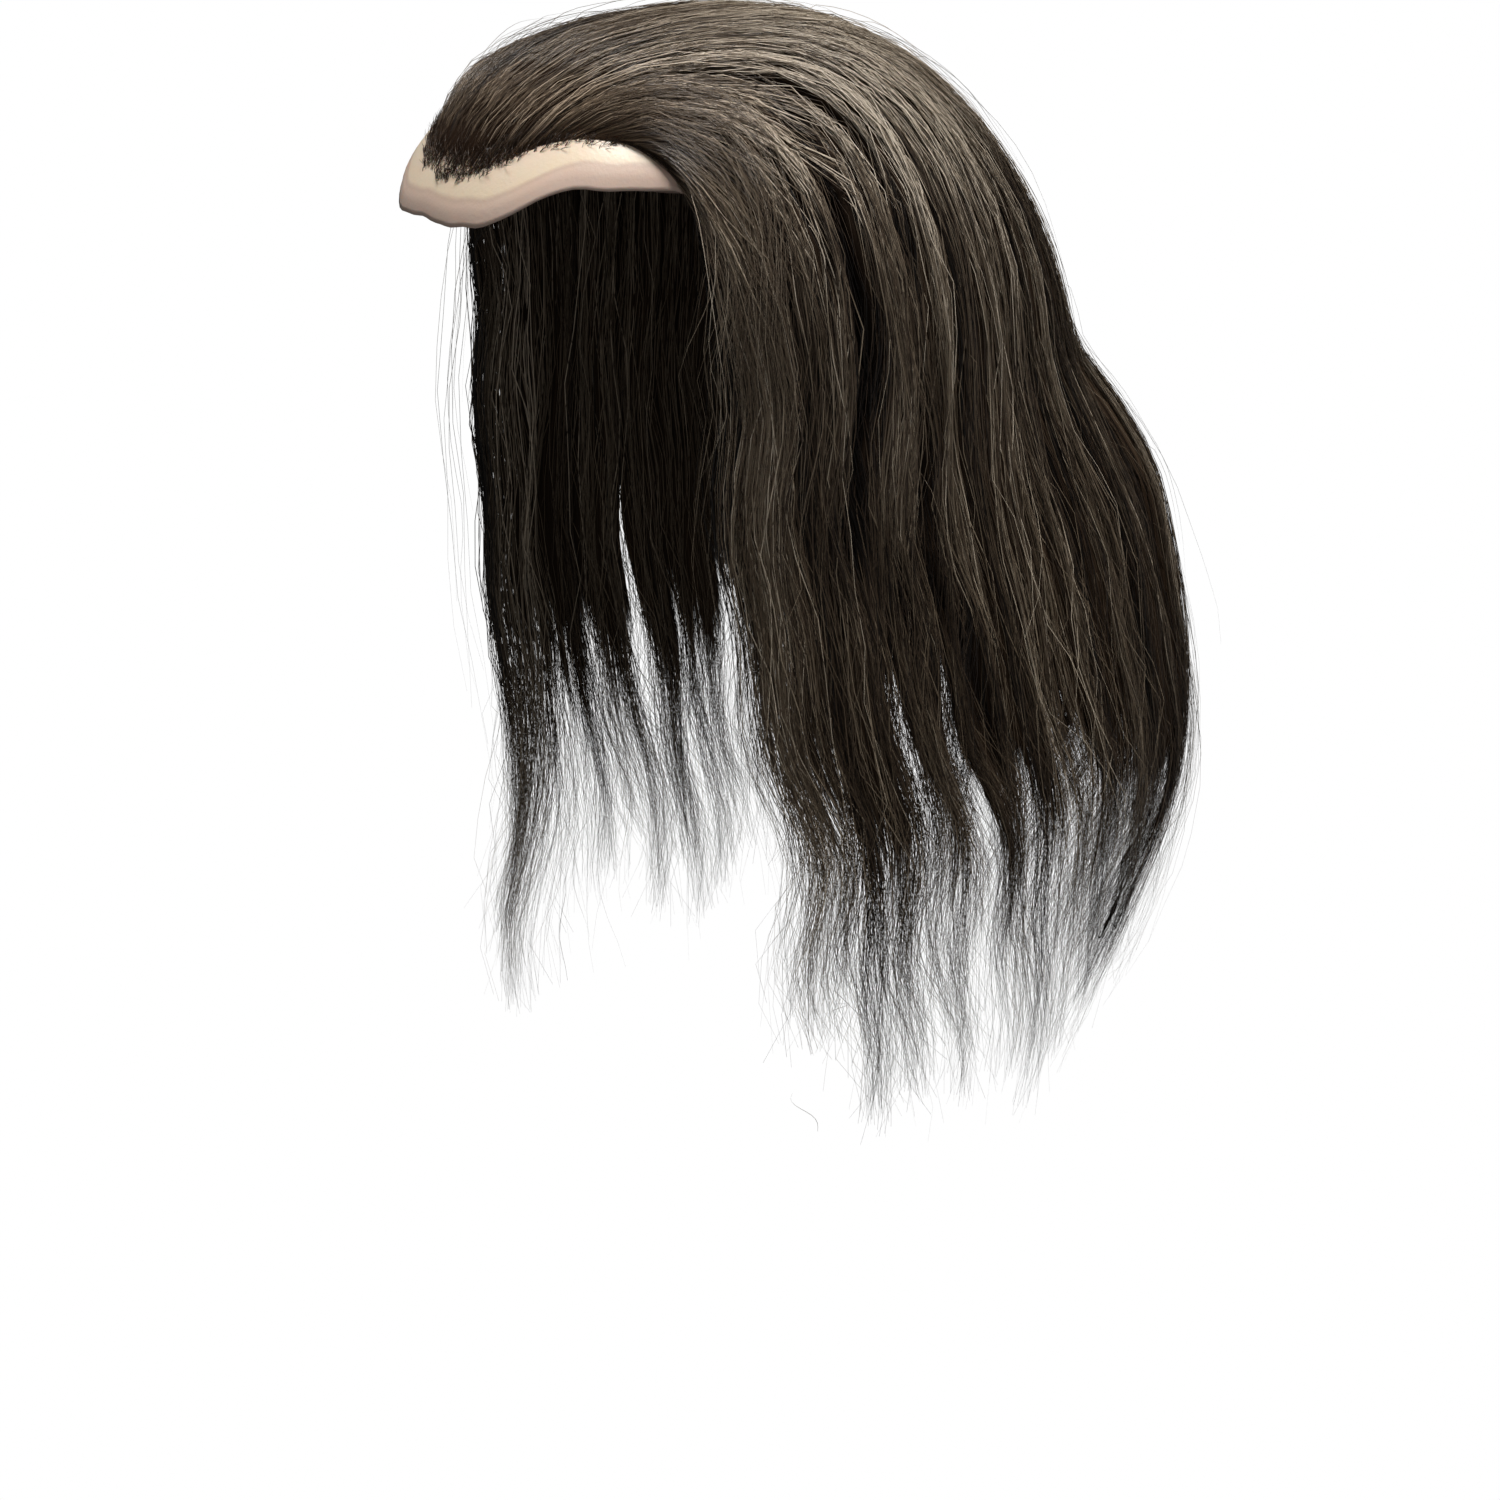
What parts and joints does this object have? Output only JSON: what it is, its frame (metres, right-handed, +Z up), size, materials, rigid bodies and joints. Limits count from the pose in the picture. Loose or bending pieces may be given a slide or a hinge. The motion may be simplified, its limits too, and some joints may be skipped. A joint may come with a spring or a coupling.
{
  "type": "toupee hairpiece",
  "caption": "Shoulder-length dark hairpiece combed back from a bare skin lip, on a thin domed skin base that is open below for the head.",
  "frame": {"origin": "crown of the wearer's head, at the inner face of the base", "axes": "+Z up, -Y towards the wearer's front, +X towards the wearer's left; worn form"},
  "size_m": [0.2061, 0.2709, 0.3596],
  "materials": {
    "skin": "thin translucent skin, satin",
    "hair": "straight hair, soft sheen"
  },
  "bodies": {
    "root": {"base_skin": "skin", "top_hair": "hair", "left_crown_hair": "hair", "right_crown_hair": "hair", "left_side_hair": "hair", "right_side_hair": "hair", "left_temple_hair": "hair", "right_temple_hair": "hair"}
  },
  "joints": []
}
